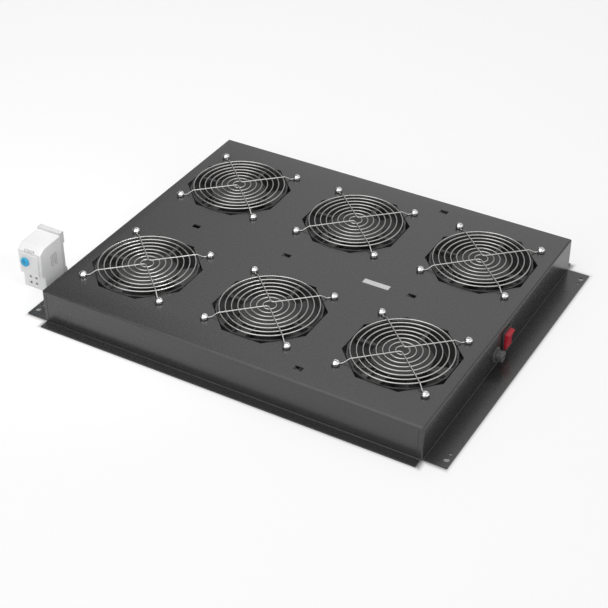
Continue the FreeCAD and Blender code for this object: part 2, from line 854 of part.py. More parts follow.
def fuse_holder_nut():
    """Hexagon nut that clamps the holder against the inside of the wall."""
    nut = regular_prism(6, fuse_nut_across_flats, 0, fuse_nut_thickness)
    nut = nut.cut(disc_z(fuse_body_radius + fuse_nut_clearance, 0, fuse_nut_thickness))
    nut = turned(nut, 90, (0, 1, 0))
    return moved(nut, inner_wall_face - fuse_nut_thickness, fuse_y, fuse_z)


def fuse_carrier_span():
    front = wall_face + fuse_flange_thickness - fuse_carrier_clearance
    return front - fuse_carrier_length, front


def fuse_cap():
    """Fluted bayonet cap with a coin slot and a pin into the carrier."""
    back = wall_face + fuse_flange_thickness + fuse_cap_gap
    front = back + fuse_cap_length
    cap = disc_x(fuse_cap_radius, back, front, fuse_y, fuse_z)
    rim = [edge for edge in cap.Edges
           if edge.CenterOfMass.x > front - 1e-6 and edge.Curve.TypeId == "Part::GeomCircle"]
    cap = cap.makeFillet(fuse_cap_flute_radius, rim)
    cuts = []
    for index in range(fuse_cap_flutes):
        angle = 2 * math.pi * index / fuse_cap_flutes
        y = fuse_y + fuse_cap_radius * math.cos(angle)
        z = fuse_z + fuse_cap_radius * math.sin(angle)
        cuts.append(disc_x(fuse_cap_flute_radius, back + fuse_cap_length / 3, front, y, z))
    cuts.append(block(front - fuse_cap_slot_depth, front,
                      fuse_y - fuse_cap_radius, fuse_y + fuse_cap_radius,
                      fuse_z - fuse_cap_slot_width / 2, fuse_z + fuse_cap_slot_width / 2))
    cap = cap.cut(Part.makeCompound(cuts))
    pin = disc_x(fuse_pin_radius, back - fuse_pin_length, back, fuse_y, fuse_z)
    return cap.fuse(pin).removeSplitter()


def fuse_carrier():
    """Sleeve behind the cap that holds the front half of the fuse."""
    back, front = fuse_carrier_span()
    outer = fuse_bore_radius - fuse_carrier_clearance
    sleeve = disc_x(outer, back, front, fuse_y, fuse_z)
    hollow = disc_x(fuse_end_radius + fuse_side_play, back, front - fuse_carrier_front,
                    fuse_y, fuse_z)
    seat = disc_x(fuse_pin_radius + fuse_pin_clearance, front - fuse_carrier_front * 0.9, front,
                  fuse_y, fuse_z)
    return sleeve.cut(hollow).cut(seat)


def fuse_link_span():
    front = fuse_carrier_span()[1] - fuse_carrier_front - fuse_seat_gap
    return front - fuse_length, front


def fuse_glass():
    """The clear tube between the end caps of the fuse."""
    back, front = fuse_link_span()
    return disc_x(fuse_glass_radius, back + fuse_end_length, front - fuse_end_length,
                  fuse_y, fuse_z)


def fuse_end_caps():
    """The two metal ends of the fuse."""
    back, front = fuse_link_span()
    return Part.makeCompound([
        disc_x(fuse_end_radius, back, back + fuse_end_length, fuse_y, fuse_z),
        disc_x(fuse_end_radius, front - fuse_end_length, front, fuse_y, fuse_z),
    ])


def fuse_terminals():
    """Centre contact with its lug through the floor, and a lug on the tube's side."""
    back = wall_face - fuse_body_length
    inside = back + fuse_body_floor
    contact = disc_x(fuse_end_radius, inside, fuse_link_span()[0] - fuse_seat_gap,
                     fuse_y, fuse_z)
    tail = block(back - fuse_lug_length, inside,
                 fuse_y - fuse_lug_width / 2 + fuse_seat_gap / 2,
                 fuse_y + fuse_lug_width / 2 - fuse_seat_gap / 2,
                 fuse_z - fuse_lug_thickness / 2 + fuse_seat_gap / 4,
                 fuse_z + fuse_lug_thickness / 2 - fuse_seat_gap / 4)
    side_z = fuse_z + fuse_body_radius
    side = block(back + fuse_body_floor, back + fuse_body_floor + fuse_lug_width,
                 fuse_y - fuse_lug_width / 2, fuse_y + fuse_lug_width / 2,
                 side_z, side_z + fuse_lug_length)
    foot = disc_x(fuse_body_radius + fuse_lug_thickness, back + fuse_body_floor,
                  back + fuse_body_floor + fuse_lug_width, fuse_y, fuse_z)
    foot = foot.cut(disc_x(fuse_body_radius, back, wall_face, fuse_y, fuse_z))
    half = fuse_lug_width / 2
    blade = side.common(block(side.BoundBox.XMin, side.BoundBox.XMax,
                              fuse_y - fuse_lug_thickness / 2, fuse_y + fuse_lug_thickness / 2,
                              side_z + fuse_lug_thickness / 2, side_z + fuse_lug_length))
    saddle = foot.common(block(side.BoundBox.XMin, side.BoundBox.XMax,
                               fuse_y - half, fuse_y + half, fuse_z, side_z + half))
    return Part.makeCompound([contact.fuse(tail), saddle.fuse(blade)])


def cable_grommet():
    """Rubber ring in the back wall: a rim on each face of the sheet and a soft bore."""
    half_y = tray_width / 2
    inner = half_y - sheet
    rims = disc_y(grommet_rim_radius, inner - grommet_side, half_y + grommet_side,
                  grommet_x, grommet_z)
    rim_edges = [edge for edge in rims.Edges if edge.Curve.TypeId == "Part::GeomCircle"]
    rims = rims.makeFillet(grommet_side / 2, rim_edges)
    groove = disc_y(grommet_rim_radius + 1, inner, half_y, grommet_x, grommet_z)
    neck = disc_y(grommet_hole_radius - grommet_fit_clearance, inner, half_y,
                  grommet_x, grommet_z)
    bore = disc_y(grommet_bore_radius, inner - 2 * grommet_side, half_y + 2 * grommet_side,
                  grommet_x, grommet_z)
    return rims.cut(groove).fuse(neck).cut(bore).removeSplitter()


def earth_stud():
    return disc_x(earth_stud_radius, inner_wall_face - earth_stud_length, inner_wall_face,
                  earth_y, earth_z)


def earth_nut():
    """Washer against the wall with a hexagon nut on the earth stud."""
    bore = earth_stud_radius + nut_clearance
    washer_back = inner_wall_face - earth_washer_thickness
    washer = ring_x(earth_washer_radius, bore, washer_back, inner_wall_face, earth_y, earth_z)
    nut = regular_prism(6, nut_across_flats, 0, nut_height).cut(disc_z(bore, 0, nut_height))
    nut = moved(turned(nut, 90, (0, 1, 0)), washer_back - nut_height, earth_y, earth_z)
    return Part.makeCompound([washer, nut])


def thermostat_outline(inset):
    """Side view of the thermostat case, drawn in by an even inset."""
    front = thermostat_y + inset
    back = thermostat_y + thermostat_depth
    top = thermostat_height - inset
    brow_z = thermostat_height - thermostat_brow_rise - inset / 2
    brow_y = thermostat_y + thermostat_brow_depth + inset / 2
    step_y = front + thermostat_step_depth
    side_x = thermostat_x - thermostat_width / 2 + inset
    low = inset
    shelf = thermostat_step_height + inset
    return [
        vector(side_x, front, shelf),
        vector(side_x, front, brow_z),
        vector(side_x, brow_y, top),
        vector(side_x, back, top),
        vector(side_x, back, low),
        vector(side_x, step_y, low),
        vector(side_x, step_y, shelf - thermostat_step_depth / 2),
    ]


def thermostat_housing():
    """Moulded case with a sloped brow, a set-back terminal nose and an open back."""
    case = prism(thermostat_outline(0), vector(thermostat_width, 0, 0))
    front_edges = []
    for edge in case.Edges:
        centre = edge.CenterOfMass
        near_side = abs(abs(centre.x - thermostat_x) - thermostat_width / 2) < 1e-3
        if near_side and centre.y < thermostat_y + thermostat_depth - 1:
            if centre.z > thermostat_wall / 2:
                front_edges.append(edge)
    case = case.makeFillet(thermostat_edge_round, front_edges)
    hollow = prism(thermostat_outline(thermostat_wall),
                   vector(thermostat_width - 2 * thermostat_wall, 0, 0))
    case = case.cut(hollow)
    cuts = []
    for index in range(vent_count):
        x = thermostat_x + (index - (vent_count - 1) / 2) * vent_pitch
        top = thermostat_height - thermostat_brow_rise + vent_height / 2
        cuts.append(block(x - vent_width / 2, x + vent_width / 2,
                          thermostat_y - 1, thermostat_y + thermostat_brow_depth / 2,
                          top - vent_height, top))
    cuts.append(disc_y(spindle_radius + 2 * spindle_clearance, thermostat_y - 1,
                       thermostat_y + 2 * thermostat_wall, thermostat_x + dial_x, dial_z))
    for side in (-1, 1):
        x = thermostat_x + terminal_x + side * terminal_spacing / 2
        for z in (terminal_screw_z, terminal_entry_z):
            cuts.append(disc_y(terminal_hole_radius, thermostat_y,
                               thermostat_y + thermostat_step_depth + 2 * thermostat_wall,
                               x, z))
    return case.cut(Part.makeCompound(cuts))


def thermostat_cover():
    """Raised front plate round the dial."""
    half = thermostat_width / 2 - cover_side_inset
    low = thermostat_step_height + cover_bottom_inset
    high = thermostat_height - cover_top_inset - vent_height / 2
    front = thermostat_y - cover_seat_gap - cover_thickness
    plate = rounded_box(
        thermostat_x - half, thermostat_x + half, front, thermostat_y - cover_seat_gap, low, high,
        cover_thickness * 0.6,
        lambda edge: edge.CenterOfMass.y < front + cover_thickness / 2)
    hole = disc_y(spindle_radius + 2 * spindle_clearance, front - 1, thermostat_y,
                  thermostat_x + dial_x, dial_z)
    return plate.cut(hole)


def thermostat_dial():
    """Setting knob with a pointer slot, on a spindle that enters the case."""
    back = thermostat_y - cover_seat_gap - cover_thickness - dial_gap
    front = back - dial_height
    x = thermostat_x + dial_x
    knob = disc_y(dial_radius, front, back, x, dial_z)
    rim = [edge for edge in knob.Edges
           if edge.CenterOfMass.y < front + 1e-6 and edge.Curve.TypeId == "Part::GeomCircle"]
    knob = knob.makeFillet(dial_round, rim)
    slot = block(x - dial_slot_width / 2, x + dial_slot_width / 2,
                 front, front + dial_slot_depth,
                 dial_z - dial_radius / 3, dial_z + dial_radius * 0.75)
    spindle = disc_y(spindle_radius, back, back + spindle_length, x, dial_z)
    return knob.cut(slot).fuse(spindle).removeSplitter()


def thermostat_back_plate():
    """Foot that closes the back of the case, with two hooks for a 35 mm rail."""
    front = thermostat_y + thermostat_depth
    back = front + back_plate_depth
    half = thermostat_width / 2
    top = thermostat_height + back_plate_rise
    plate = rounded_box(thermostat_x - half, thermostat_x + half, front, back, 0, top,
                        thermostat_edge_round / 2,
                        lambda edge: edge.CenterOfMass.z > top - 1e-6)
    middle = thermostat_height / 2
    hook_y = back - rail_hook_depth
    channel = block(thermostat_x - half - 1, thermostat_x + half + 1,
                    hook_y - rail_lip_gap, back + 1,
                    middle - rail_height / 2, middle + rail_height / 2)
    mouth = block(thermostat_x - half - 1, thermostat_x + half + 1,
                  hook_y - rail_lip_gap, hook_y,
                  middle - rail_height / 2 - rail_hook_reach,
                  middle + rail_height / 2 + rail_hook_reach)
    return plate.cut(channel).cut(mouth)


def terminal_block():
    """Insulating block behind the nose, with a pocket for each clamp."""
    front = thermostat_y + thermostat_step_depth + thermostat_wall + cover_seat_gap
    back = front + terminal_block_depth
    x = thermostat_x + terminal_x
    low = thermostat_wall + cover_seat_gap
    solid = block(x - terminal_block_width / 2, x + terminal_block_width / 2,
                  front, back, low, low + terminal_block_height)
    cuts = []
    pocket = terminal_clamp_side / 2 + terminal_clamp_clearance
    for side in (-1, 1):
        centre = x + side * terminal_spacing / 2
        cuts.append(block(centre - pocket, centre + pocket,
                          front + thermostat_wall, back - thermostat_wall,
                          terminal_entry_z - pocket, terminal_screw_z + pocket))
        for z in (terminal_screw_z, terminal_entry_z):
            cuts.append(disc_y(terminal_hole_radius, front, back - thermostat_wall, centre, z))
    return solid.cut(Part.makeCompound(cuts))


def terminal_clamps():
    """Brass cages that grip the wires below the screws."""
    front = thermostat_y + thermostat_step_depth + 2 * thermostat_wall + 2 * cover_seat_gap
    back = front + terminal_block_depth - 2 * thermostat_wall - 2 * cover_seat_gap
    x = thermostat_x + terminal_x
    half = terminal_clamp_side / 2
    clamps = []
    for side in (-1, 1):
        centre = x + side * terminal_spacing / 2
        cage = block(centre - half, centre + half, front, back,
                     terminal_entry_z - half, terminal_screw_z + half)
        entry = disc_y(terminal_hole_radius, front, back, centre, terminal_entry_z)
        thread = disc_y(terminal_screw_radius + nut_clearance, front, back, centre,
                        terminal_screw_z)
        clamps.append(cage.cut(entry).cut(thread))
    return Part.makeCompound(clamps)


def terminal_screws():
    """Slotted clamp screws, seen through the upper holes of the nose."""
    front = thermostat_y + thermostat_step_depth + thermostat_wall
    x = thermostat_x + terminal_x
    screws = []
    for side in (-1, 1):
        centre = x + side * terminal_spacing / 2
        screw = disc_y(terminal_screw_radius, front, front + terminal_screw_length,
                       centre, terminal_screw_z)
        slot = block(centre - terminal_screw_radius, centre + terminal_screw_radius,
                     front, front + dial_slot_depth,
                     terminal_screw_z - screw_recess_width / 2,
                     terminal_screw_z + screw_recess_width / 2)
        screws.append(screw.cut(slot))
    return Part.makeCompound(screws)


def thermostat_switch():
    """Snap switch case on the inside of the foot plate, above the terminals."""
    back = thermostat_y + thermostat_depth
    x = thermostat_x
    low = thermostat_step_height + thermostat_wall
    return block(x - switch_case_width / 2, x + switch_case_width / 2,
                 back - switch_case_depth, back, low, low + switch_case_height)


def thermostat_bimetal():
    """Bimetal strip that stands on the snap switch behind the vents."""
    back = thermostat_y + thermostat_depth - switch_case_depth / 2
    low = thermostat_step_height + thermostat_wall + switch_case_height
    high = min(low + bimetal_length, thermostat_height - 2 * thermostat_wall)
    return block(thermostat_x - bimetal_width / 2, thermostat_x + bimetal_width / 2,
                 back - bimetal_thickness, back, low, high)


def all_nodes():
    nodes = {"tray_panel": tray(), "label_plate": label_plate()}
    frame = fan_frame()
    sleeves = bearings()
    core = stator()
    can = rotor_can()
    wheel = impeller()
    guard = finger_guard()
    screw = guard_screw()
    nut = guard_nut()
    all_sleeves = []
    all_screws = []
    all_nuts = []
    for number, (x, y) in enumerate(fan_places(), start=1):
        rest_angle = rotor_rest_angle * number
        nodes["fan_frame_%d" % number] = moved(frame, x, y, panel_underside)
        nodes["fan_stator_%d" % number] = moved(core, x, y, panel_underside)
        nodes["rotor_can_%d" % number] = moved(can, x, y, panel_underside)
        nodes["impeller_%d" % number] = moved(turned(wheel, rest_angle), x, y, panel_underside)
        nodes["finger_guard_%d" % number] = moved(guard, x, y, tray_height)
        all_sleeves += [moved(sleeve, x, y, panel_underside) for sleeve in sleeves]
        for index, (dx, dy) in enumerate(screw_corners()):
            set_screw = turned(screw, rotor_rest_angle * (number + 2 * index))
            all_screws.append(moved(set_screw, x + dx, y + dy, tray_height))
            all_nuts.append(moved(nut, x + dx, y + dy, tray_height))
    nodes["shaft_bearings"] = Part.makeCompound(all_sleeves)
    nodes["guard_screws"] = Part.makeCompound(all_screws)
    nodes["guard_nuts"] = Part.makeCompound(all_nuts)
    nodes["switch_housing"] = switch_housing()
    nodes["switch_rocker"] = switch_rocker()
    nodes["switch_terminals"] = switch_terminals()
    nodes["fuse_holder_body"] = fuse_holder_body()
    nodes["fuse_holder_nut"] = fuse_holder_nut()
    nodes["fuse_cap"] = fuse_cap()
    nodes["fuse_carrier"] = fuse_carrier()
    nodes["fuse_glass"] = fuse_glass()
    nodes["fuse_end_caps"] = fuse_end_caps()
    nodes["fuse_terminals"] = fuse_terminals()
    nodes["cable_grommet"] = cable_grommet()
    nodes["earth_stud"] = earth_stud()
    nodes["earth_nut"] = earth_nut()
    nodes["thermostat_housing"] = thermostat_housing()
    nodes["thermostat_cover"] = thermostat_cover()
    nodes["thermostat_dial"] = thermostat_dial()
    nodes["thermostat_back_plate"] = thermostat_back_plate()
    nodes["thermostat_terminal_block"] = terminal_block()
    nodes["thermostat_clamps"] = terminal_clamps()
    nodes["thermostat_clamp_screws"] = terminal_screws()
    nodes["thermostat_switch"] = thermostat_switch()
    nodes["thermostat_bimetal"] = thermostat_bimetal()
    return nodes


os.makedirs("parts", exist_ok=True)
for node_name, node_shape in all_nodes().items():
    node_shape.exportStep("parts/%s.step" % node_name)
    print(node_name, len(node_shape.Solids), node_shape.isValid(), round(node_shape.Volume, 1))
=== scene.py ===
import json
import math

import bmesh
import bpy
from mathutils import Matrix, Vector


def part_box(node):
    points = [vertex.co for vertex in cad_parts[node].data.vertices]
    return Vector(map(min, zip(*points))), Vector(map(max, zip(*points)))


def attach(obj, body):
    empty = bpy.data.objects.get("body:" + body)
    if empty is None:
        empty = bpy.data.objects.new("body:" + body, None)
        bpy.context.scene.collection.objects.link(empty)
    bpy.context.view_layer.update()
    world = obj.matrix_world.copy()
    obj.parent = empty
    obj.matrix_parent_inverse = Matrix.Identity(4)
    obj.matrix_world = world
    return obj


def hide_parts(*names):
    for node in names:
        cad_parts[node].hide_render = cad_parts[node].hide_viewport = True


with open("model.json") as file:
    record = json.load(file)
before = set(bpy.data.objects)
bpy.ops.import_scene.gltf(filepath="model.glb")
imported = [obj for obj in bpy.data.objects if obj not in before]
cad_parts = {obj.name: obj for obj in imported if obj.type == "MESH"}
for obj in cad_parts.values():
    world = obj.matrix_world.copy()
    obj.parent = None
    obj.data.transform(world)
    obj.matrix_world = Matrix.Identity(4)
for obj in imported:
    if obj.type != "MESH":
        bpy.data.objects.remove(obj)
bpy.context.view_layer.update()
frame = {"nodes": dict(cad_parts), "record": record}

# Rack fan tray with wire guards, a rocker switch, a fuse holder and a rail thermostat.
# Metres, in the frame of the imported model.

MM = 0.001

# Camera
camera_lens = 88.67
camera_place = (0.70689, -1.24039, 1.02229)
camera_turn = (54.0525, 0.1518, 30.0024)

# Light of the studio
world_light = 0.36
glossy_floor = 0.54
floor_lift = 0.68
# Painted shade on the floor under the part, within these footprints, and a painted contact
# shadow in the fade across their edges
footprints = ((267.0 * MM, 197.5 * MM), (242.0 * MM, 209.0 * MM))
footprint_inside = 3.0 * MM
footprint_outside = 5.0 * MM
floor_half_size = 6.0
floor_drop = 0.05 * MM
weak_dome = 0.02
sensor_width = 36.0
near_clip = 0.05
far_clip = 30.0

# Lamps: name, place, size, watts, node to aim at (or none for the origin), spread in degrees
lamps = (
    ("top_lamp", (-0.32, 0.05, 1.65), 1.6, 15.5, None, 180.0),
    ("front_lamp", (-0.45, -1.9, 1.3), 1.8, 14.5, None, 180.0),
    ("right_lamp", (2.2, -0.6, 1.0), 1.8, 4.0, None, 180.0),
    ("side_lamp", (0.25, -0.18, 0.50), 0.2, 0.16, "thermostat_housing", 45.0),
)

# Faces of the solids meet again within this distance, and turn sharp from this angle on
merge_distance = 0.002 * MM
crease_angle = 32.0

# Finger guards, as in the solids
fan_count = 6
screw_reach = 52.5 * MM
ring_count = 8
first_ring = 7.6 * MM
ring_pitch = 6.95 * MM
apex_back = 4.0 * MM
apex_front = 3.0 * MM
guard_wire = 1.5 * MM
weld_radius = guard_wire * 0.62
weld_depth = guard_wire * 0.95

# Fan frames, as in the solids, and the pockets in their upper flange
frame_ring_radius = 59.75 * MM
cutout_half = 60.3 * MM
flange_thickness = 4.0 * MM
collar_rise = 1.1 * MM
pocket_depth = 1.5 * flange_thickness + collar_rise
pocket_cut_height = 2.0 * flange_thickness + collar_rise
# Painted shade on the frames outside each duct, in the pockets: how far past the ring it starts,
# its lowest height, and its drop below the top of the frame
painted_shade_margin = 0.15 * MM
painted_shade_bottom = 10.0 * MM
painted_shade_drop = 0.4 * MM

# Printed scale round the dial of the thermostat, and the tinted band beside it
scale_ticks = 10
scale_start = -20.0
scale_sweep = 180.0
scale_radius = 6.5 * MM
scale_tick_length = 0.8 * MM
scale_tick_width = 0.22 * MM
print_height = 0.03 * MM
arc_radius = 6.2 * MM
arc_width = 0.75 * MM
arc_start = 40.0
arc_sweep = 140.0
arc_steps = 26

# Lines of small print on the side of the thermostat, each a row of short dashes
small_print_y = (-136.5 * MM, -134.1 * MM, -131.7 * MM, -129.3 * MM, -126.9 * MM)
small_print_ends = ((29.0, 44.0), (27.0, 45.5), (31.0, 43.0), (27.0, 45.5), (27.0, 45.5))
small_print_dash = 1.9 * MM
small_print_gap = 0.6 * MM
small_print_width = 1.0 * MM


class Signal:
    """The output of a shader node. Arithmetic on it adds Math nodes."""

    def __init__(self, board, socket):
        self.board = board
        self.socket = socket

    def maths(self, operation, *values):
        return self.board.add("ShaderNodeMath", {"operation": operation},
                              dict(enumerate(values)))

    def __add__(self, other):
        return self.maths("ADD", self, other)

    __radd__ = __add__

    def __mul__(self, other):
        return self.maths("MULTIPLY", self, other)

    __rmul__ = __mul__

    def __sub__(self, other):
        return self.maths("SUBTRACT", self, other)

    def __rsub__(self, other):
        return self.maths("SUBTRACT", other, self)

    def __gt__(self, other):
        return self.maths("GREATER_THAN", self, other)

    def __lt__(self, other):
        return self.maths("LESS_THAN", self, other)

    def __abs__(self):
        return self.maths("ABSOLUTE", self)

    def power(self, exponent):
        return self.maths("POWER", self, exponent)

    def clamped(self):
        return self.maths("MINIMUM", self.maths("MAXIMUM", self, 0.0), 1.0)


class Board:
    """A node tree that ends in one surface output."""

    def __init__(self, tree, output_kind):
        self.tree = tree
        tree.nodes.clear()
        self.output = tree.nodes.new(output_kind)

    def surface(self, shader):
        self.tree.links.new(shader.socket, self.output.inputs["Surface"])

    def add(self, kind, settings=None, inputs=None, output=0):
        """Any node: its settings first, then the values or links of its sockets."""
        node = self.tree.nodes.new(kind)
        for name, value in (settings or {}).items():
            if name == "stops":
                self.set_stops(node.color_ramp, value)
            else:
                setattr(node, name, value)
        for name, value in (inputs or {}).items():
            if isinstance(value, Signal):
                self.tree.links.new(value.socket, node.inputs[name])
            else:
                node.inputs[name].default_value = value
        return Signal(self, node.outputs[output])

    def set_stops(self, ramp, stops):
        while len(ramp.elements) < len(stops):
            ramp.elements.new(0.5)
        for element, (position, colour) in zip(ramp.elements, stops):
            element.position = position
            element.color = colour

    def rays(self, kind):
        return self.add("ShaderNodeLightPath", {}, {}, "Is %s Ray" % kind)

    def axes(self, place):
        node = self.add("ShaderNodeSeparateXYZ", {}, {"Vector": place}).socket.node
        return [Signal(self, socket) for socket in node.outputs]

    def ramp(self, factor, *stops):
        return self.add("ShaderNodeValToRGB", {"stops": stops}, {"Fac": factor})

    def fit(self, signal, low, high, to_low=0.0, to_high=1.0):
        return self.add("ShaderNodeMapRange", {"interpolation_type": "SMOOTHSTEP"}, {
            "Value": signal, "From Min": low, "From Max": high,
            "To Min": to_low, "To Max": to_high})

    def blend(self, factor, first, second):
        """A colour that goes from the first to the second as the factor goes from 0 to 1."""
        return self.add("ShaderNodeMix", {"data_type": "RGBA"}, {
            0: factor, 6: first, 7: second}, 2)

    def mixed(self, factor, first, second):
        return self.add("ShaderNodeMixShader", {}, {0: factor, 1: first, 2: second})


class Finish(Board):
    """A material and the nodes that give it its look."""

    def __init__(self, name, **constants):
        self.material = bpy.data.materials.new(name)
        self.material.use_nodes = True
        super().__init__(self.material.node_tree, "ShaderNodeOutputMaterial")
        self.shader = self.add("ShaderNodeBsdfPrincipled", {}, constants)
        self.surface(self.shader)
        self.place = self.add("ShaderNodeTexCoord", {}, {}, "Object")

    def feed(self, **links):
        """Links signals to the shader's sockets. Names use _ for a space."""
        node = self.shader.socket.node
        for name, signal in links.items():
            self.tree.links.new(signal.socket, node.inputs[name.replace("_", " ")])

    def noise(self, size, detail=3.0, roughness=0.5, place=None, distortion=0.0):
        """A cloudy pattern between 0 and 1 whose lumps are about the given size across."""
        return self.add("ShaderNodeTexNoise", {}, {
            "Vector": place or self.place, "Scale": 1.0 / size, "Detail": detail,
            "Roughness": roughness, "Distortion": distortion})

    def moved(self, centre=(0, 0, 0), scale=(1, 1, 1)):
        """Object coordinates with their origin at the centre, then scaled."""
        shifted = self.add("ShaderNodeMapping", {"vector_type": "TEXTURE"}, {
            "Vector": self.place, "Location": centre})
        return self.add("ShaderNodeMapping", {"vector_type": "POINT"}, {
            "Vector": shifted, "Scale": scale})

    def bumps(self, height, distance, strength=1.0):
        self.feed(Normal=self.add("ShaderNodeBump", {}, {
            "Height": height, "Distance": distance, "Strength": strength}))


def grey(value):
    return (value, value, value, 1.0)


def colour(red, green, blue):
    return (red, green, blue, 1.0)


def middle(node):
    """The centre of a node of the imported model."""
    low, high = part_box(node)
    return tuple((a + b) / 2 for a, b in zip(low, high))


def powder_coat():
    """Fine textured black powder coat on sheet steel."""
    coat = Finish("powder_coat_black", **{"Specular IOR Level": 0.68})
    grain = coat.noise(0.55 * MM, 2.0, 0.6)
    mottle = coat.noise(2.6 * MM, 3.0, 0.6)
    cloud = coat.noise(90 * MM, 2.0)
    speckle = coat.fit(grain, 0.60, 0.72)
    base = coat.blend(coat.fit(mottle, 0.3, 0.7), grey(0.026), grey(0.036))
    coat.feed(
        Base_Color=coat.blend(speckle * 0.3, base, grey(0.08)),
        Roughness=0.20 + grain * 0.08 + cloud * 0.04,
    )
    coat.bumps(grain + mottle * 0.5, 0.04 * MM, 0.5)
    return coat.material


def cast_paint():
    """Black paint over a die casting, with painted shade on what lies outside each duct."""
    paint = Finish("cast_paint_black", **{"Specular IOR Level": 0.45})
    grain = paint.noise(0.9 * MM, 3.0, 0.6)
    cloud = paint.noise(14 * MM, 2.0)
    first, last = middle("fan_frame_1"), middle("fan_frame_6")
    pitch = ((last[0] - first[0]) / 2, last[1] - first[1])
    side, depth, height = paint.axes(paint.place)
    across = side.maths("PINGPONG", side - first[0], pitch[0] / 2)
    along = side.maths("PINGPONG", depth - first[1], pitch[1] / 2)
    from_centre = (across * across + along * along).power(0.5)
    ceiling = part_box("fan_frame_1")[1][2] - painted_shade_drop
    # Painted shade: outside each duct, from the lowest height to just under the frame's top, the
    # paint turns near black and rougher
    outside = ((from_centre > frame_ring_radius - painted_shade_margin)
               * (height > painted_shade_bottom) * (height < ceiling))
    painted = paint.blend(cloud, grey(0.034), grey(0.056))
    paint.feed(
        Base_Color=paint.blend(outside, painted, grey(0.006)),
        Roughness=0.42 + grain * 0.2 + outside * 0.35,
    )
    paint.bumps(grain, 0.06 * MM, 0.5)
    return paint.material


def impeller_plastic():
    """Moulded black plastic with faint flow lines round the hub."""
    plastic = Finish("impeller_plastic_black", **{"Specular IOR Level": 0.5})
    flow = plastic.noise(3.0 * MM, 2.0, 0.5, distortion=0.6)
    fine = plastic.noise(0.5 * MM, 2.0)
    plastic.feed(
        Base_Color=plastic.blend(flow, grey(0.020), grey(0.036)),
        Roughness=0.34 + flow * 0.16,
    )
    plastic.bumps(fine, 0.02 * MM, 0.4)
    return plastic.material


def drawn_steel():
    """Zinc-plated drawn steel of the rotor cans."""
    steel = Finish("drawn_steel", **{"Metallic": 1.0})
    streaks = steel.noise(1.0 * MM, 3.0, 0.6, place=steel.moved(scale=(1.0, 1.0, 0.06)))
    cloud = steel.noise(9 * MM, 2.0)
    steel.feed(
        Base_Color=steel.blend(cloud, colour(0.38, 0.39, 0.40), colour(0.50, 0.50, 0.49)),
        Roughness=0.26 + streaks * 0.22,
    )
    steel.bumps(streaks, 0.02 * MM, 0.4)
    return steel.material


def laminations():
    """Stacked iron sheets with enamelled copper round their ends."""
    stack = Finish("laminations_and_windings", **{"Specular IOR Level": 0.5})
    height = stack.axes(stack.place)[2]
    sheets = stack.add("ShaderNodeTexWave", {"wave_type": "BANDS", "bands_direction": "Z"}, {
        "Vector": stack.place, "Scale": 1.0 / (2.0 * MM), "Distortion": 0.2, "Detail": 1.0},
        "Fac")
    wire = stack.noise(0.8 * MM, 2.0, 0.5, place=stack.moved(scale=(0.25, 0.25, 1.0)))
    iron = stack.blend(sheets, grey(0.10), grey(0.22))
    copper = stack.blend(wire, colour(0.22, 0.07, 0.025), colour(0.50, 0.19, 0.07))
    core_top = 31.0 * MM
    core_bottom = 15.0 * MM
    outside = (height > core_top) + (height < core_bottom)
    stack.feed(
        Base_Color=stack.blend(outside.clamped(), iron, copper),
        Metallic=0.35 + sheets * 0.3,
        Roughness=0.40 + wire * 0.15,
    )
    stack.bumps(sheets, 0.05 * MM, 0.5)
    return stack.material


def nickel_wire():
    """Bright nickel on drawn wire, a little duller in patches."""
    nickel = Finish("nickel_wire", **{"Metallic": 1.0})
    cloud = nickel.noise(11 * MM, 3.0, 0.6)
    fine = nickel.noise(0.7 * MM, 2.0)
    nickel.feed(
        Base_Color=nickel.blend(cloud, colour(0.44, 0.435, 0.43), colour(0.56, 0.555, 0.54)),
        Roughness=0.24 + cloud * 0.16 + fine * 0.05,
    )
    nickel.bumps(fine, 0.015 * MM, 0.35)
    return nickel.material


def zinc_plate():
    """Bright zinc on screws and nuts."""
    zinc = Finish("zinc_plate", **{"Metallic": 1.0})
    cloud = zinc.noise(2.2 * MM, 3.0, 0.6)
    fine = zinc.noise(0.4 * MM, 2.0)
    zinc.feed(
        Base_Color=zinc.blend(cloud, colour(0.74, 0.75, 0.76), colour(0.90, 0.90, 0.89)),
        Roughness=0.16 + cloud * 0.18,
    )
    zinc.bumps(fine, 0.02 * MM, 0.35)
    return zinc.material


def sintered_bronze():
    bronze = Finish("sintered_bronze", **{"Metallic": 1.0})
    pores = bronze.noise(0.25 * MM, 2.0, 0.6)
    bronze.feed(
        Base_Color=bronze.blend(pores, colour(0.30, 0.17, 0.08), colour(0.62, 0.40, 0.19)),
        Roughness=0.38 + pores * 0.2,
    )
    bronze.bumps(pores, 0.03 * MM, 0.6)
    return bronze.material


def label_film():
    """Bare satin film, a touch darker towards its edges."""
    film = Finish("label_film", **{"Specular IOR Level": 0.4})
    along, across = film.axes(film.moved(centre=middle("label_plate")))[:2]
    fibre = film.noise(0.6 * MM, 2.0)
    cloud = film.noise(6 * MM, 2.0)
    rim = (film.fit(abs(along), 15.4 * MM, 16.5 * MM)
           + film.fit(abs(across), 3.1 * MM, 4.0 * MM))
    film.feed(
        Base_Color=film.blend((rim * 0.35 + cloud * 0.15).clamped(), grey(0.62), grey(0.36)),
        Roughness=0.40 + fibre * 0.15,
    )
    film.bumps(fibre, 0.01 * MM, 0.3)
    return film.material


def switch_plastic():
    plastic = Finish("switch_plastic_black", **{"Specular IOR Level": 0.5})
    spark = plastic.noise(0.3 * MM, 2.0)
    cloud = plastic.noise(5 * MM, 2.0)
    plastic.feed(
        Base_Color=plastic.blend(cloud, grey(0.016), grey(0.028)),
        Roughness=0.26 + spark * 0.18,
    )
    plastic.bumps(spark, 0.02 * MM, 0.5)
    return plastic.material


